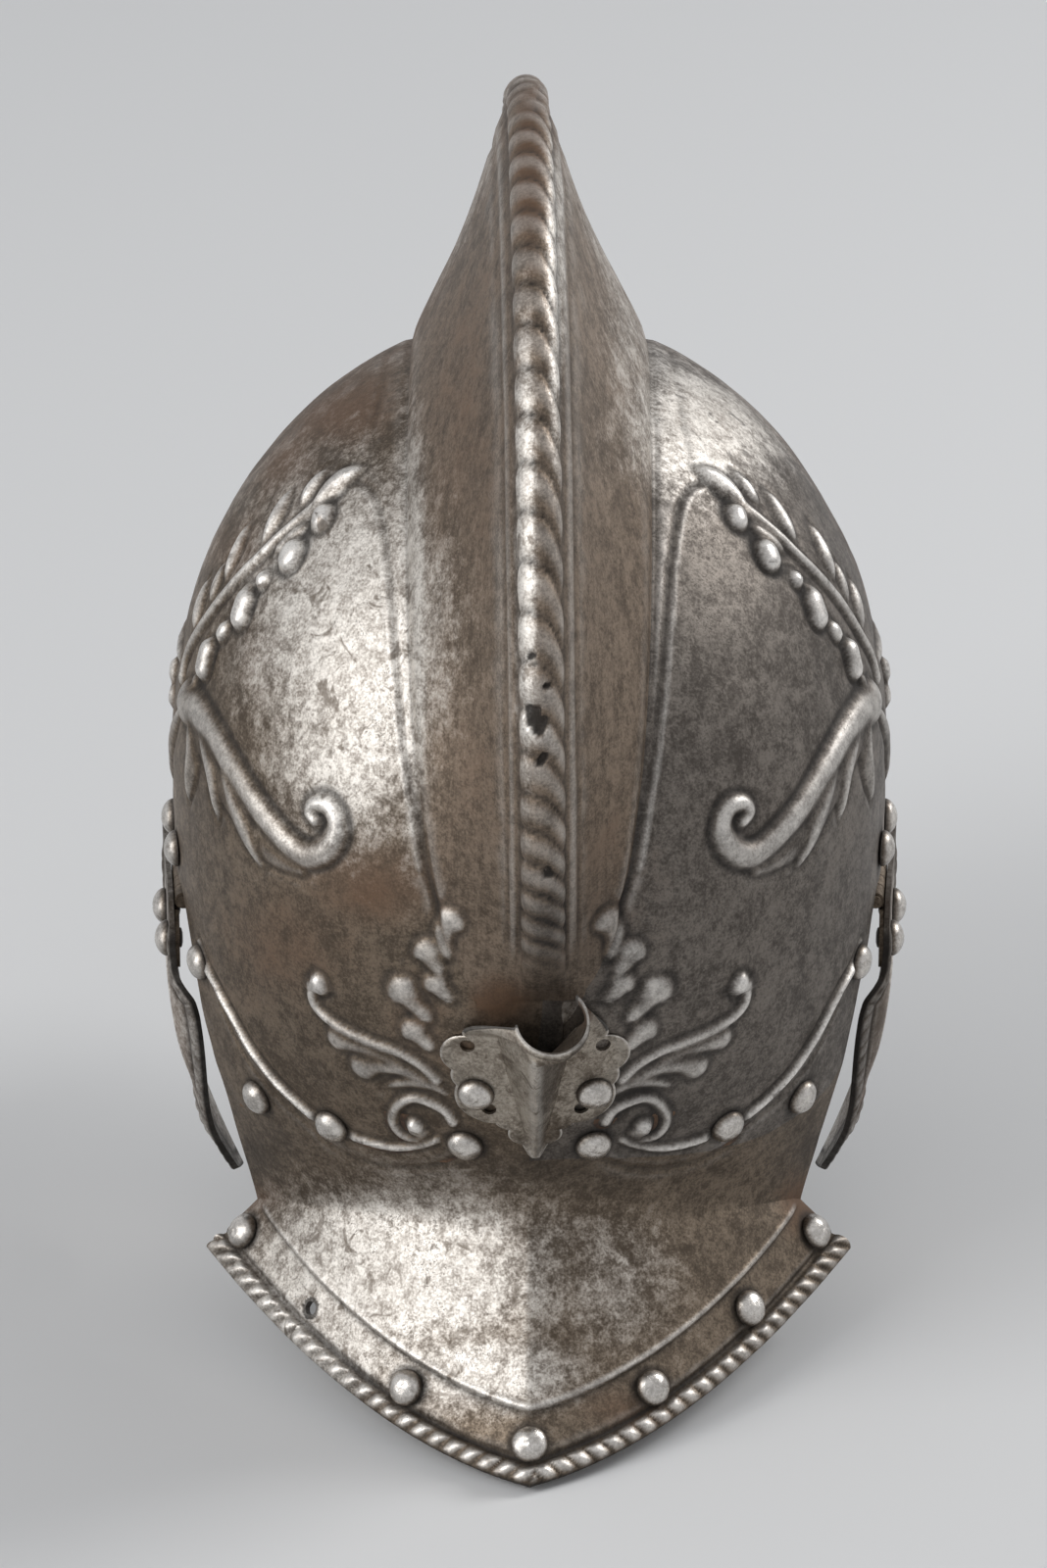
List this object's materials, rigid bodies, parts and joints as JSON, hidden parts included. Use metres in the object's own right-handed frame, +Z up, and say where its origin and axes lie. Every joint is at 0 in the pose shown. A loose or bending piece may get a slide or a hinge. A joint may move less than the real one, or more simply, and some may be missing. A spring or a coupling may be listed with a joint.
{
  "type": "burgonet",
  "caption": "Open steel helmet with a high embossed comb, a fixed peak over the brow, a flared pointed neck guard, a plume holder at the nape and two cheekpieces that swing on side hinges.",
  "frame": {"origin": "middle of the head space, level with the greatest width of the bowl", "axes": "+Z up, -Y the way the wearer looks, +X the wearer's left"},
  "size_m": [0.207, 0.3123, 0.3362],
  "materials": {
    "skull_steel": "aged steel with a brown patina, pitting and worn bright ridges",
    "holder_steel": "aged sheet steel, lighter on its worn edges",
    "cheek_steel": "aged steel with a brown patina",
    "rivet_steel": "domed steel heads, bright on top and dark at the foot",
    "washer_steel": "rough dark steel",
    "hinge_steel": "dark steel, worn at the knuckles",
    "lining_leather": "old dark brown leather"
  },
  "bodies": {
    "helmet": {"skull": "skull_steel", "plume_holder": "holder_steel", "plume_holder_rivets": "rivet_steel", "nape_lining_rivets": "rivet_steel", "nape_lining_washers": "washer_steel", "nape_lining_band": "lining_leather", "brow_lining_rivets": "rivet_steel", "brow_lining_washers": "washer_steel", "brow_lining_band": "lining_leather", "neck_guard_rivets": "rivet_steel", "neck_guard_washers": "washer_steel", "left_skull_hinge_leaf": "hinge_steel", "left_hinge_pin": "hinge_steel", "left_skull_hinge_rivets": "rivet_steel", "right_skull_hinge_leaf": "hinge_steel", "right_hinge_pin": "hinge_steel", "right_skull_hinge_rivets": "rivet_steel"},
    "left_cheek": {"left_cheekpiece": "cheek_steel", "left_cheek_hinge_leaf": "hinge_steel", "left_cheek_hinge_rivets": "rivet_steel"},
    "right_cheek": {"right_cheekpiece": "cheek_steel", "right_cheek_hinge_leaf": "hinge_steel", "right_cheek_hinge_rivets": "rivet_steel"}
  },
  "joints": [
    {"name": "left_cheek_hinge", "type": "hinge", "parent": "helmet", "child": "left_cheek", "pos_m": [0.09485, 0.01, -0.038], "axis": [0.0698, -0.9976, 0], "range_deg": [-8, 80]},
    {"name": "right_cheek_hinge", "type": "hinge", "parent": "helmet", "child": "right_cheek", "pos_m": [-0.09485, 0.01, -0.038], "axis": [0.0698, 0.9976, 0], "range_deg": [-8, 80]}
  ]
}
